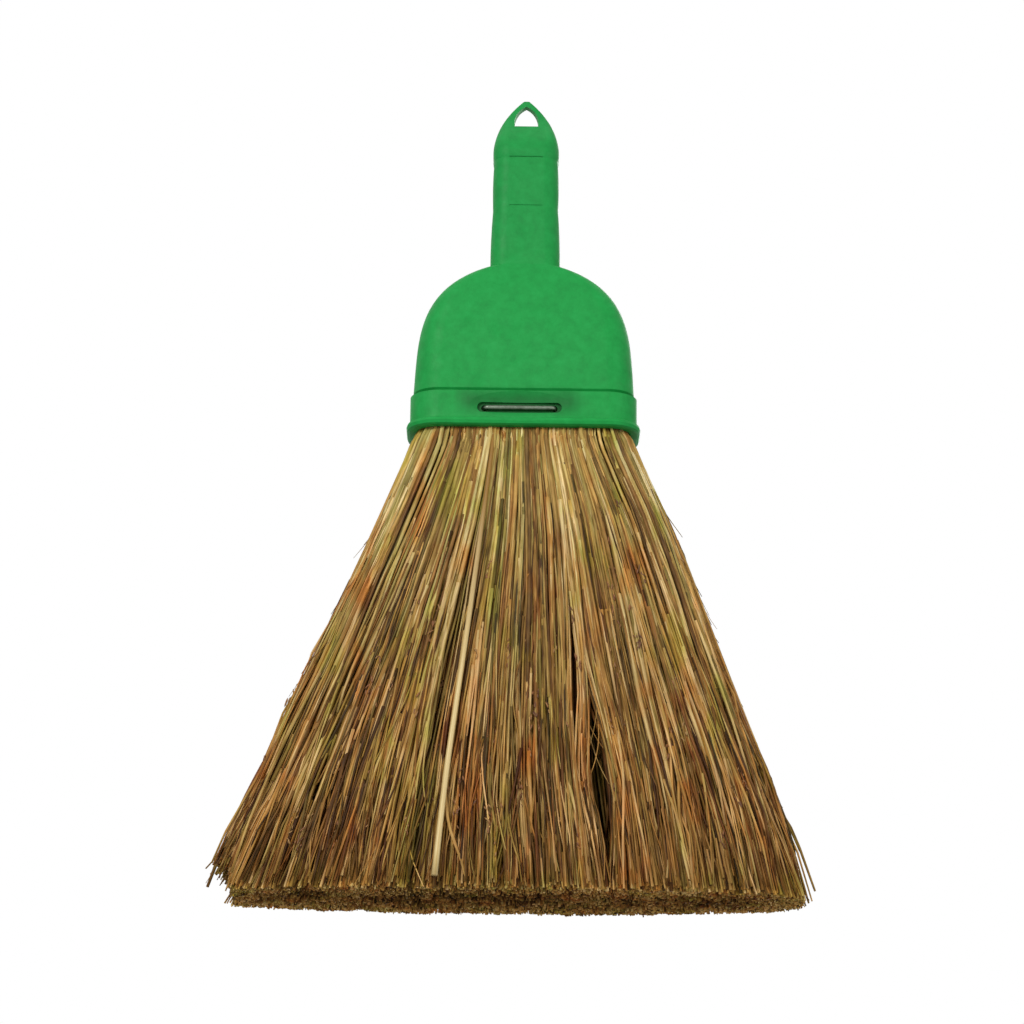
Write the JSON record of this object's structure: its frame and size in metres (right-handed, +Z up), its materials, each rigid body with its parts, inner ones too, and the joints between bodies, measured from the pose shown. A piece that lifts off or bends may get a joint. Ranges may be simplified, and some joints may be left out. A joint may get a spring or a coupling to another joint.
{
  "type": "hand broom",
  "caption": "Hand whisk broom: a moulded plastic cap and grip with a hang hole holds a flared fan of plant straws, wound with wire inside and pinned by a wire staple.",
  "frame": {"origin": "centre of the trimmed lower end of the straw fan, on the surface the broom stands on", "axes": "+Z up along the grip, X across the width of the fan, -Y towards the front, the side of the staple's crown"},
  "size_m": [0.213, 0.0536, 0.3207],
  "materials": {
    "green_plastic": "satin",
    "staple_steel": "satin",
    "binding_steel": "satin",
    "broom_straw": "matte",
    "pale_straw": "satin"
  },
  "bodies": {
    "handle_cap": {"cap_handle": "green_plastic", "staple": "staple_steel", "binding_wire": "binding_steel"},
    "bristles": {"front_bunch_1": "broom_straw", "front_bunch_2": "broom_straw", "front_bunch_3": "broom_straw", "front_bunch_4": "broom_straw", "front_bunch_5": "broom_straw", "front_bunch_6": "broom_straw", "core_bunch_1": "broom_straw", "core_bunch_2": "broom_straw", "core_bunch_3": "broom_straw", "core_bunch_4": "broom_straw", "core_bunch_5": "broom_straw", "core_bunch_6": "broom_straw", "back_bunch_1": "broom_straw", "back_bunch_2": "broom_straw", "back_bunch_3": "broom_straw", "back_bunch_4": "broom_straw", "back_bunch_5": "broom_straw", "back_bunch_6": "broom_straw", "left_shoulder_bunch": "broom_straw", "right_shoulder_bunch": "broom_straw", "pale_reed": "pale_straw"}
  },
  "joints": [
    {"name": "bristle_flex", "type": "hinge", "parent": "handle_cap", "child": "bristles", "pos_m": [0, 0, 0.18], "axis": [1, 0, 0], "range_deg": [-22, 22], "stiffness_Nm_per_rad": 5, "deforming": ["front_bunch_1", "front_bunch_2", "front_bunch_3", "front_bunch_4", "front_bunch_5", "front_bunch_6", "core_bunch_1", "core_bunch_2", "core_bunch_3", "core_bunch_4", "core_bunch_5", "core_bunch_6", "back_bunch_1", "back_bunch_2", "back_bunch_3", "back_bunch_4", "back_bunch_5", "back_bunch_6", "left_shoulder_bunch", "right_shoulder_bunch", "pale_reed"]}
  ]
}
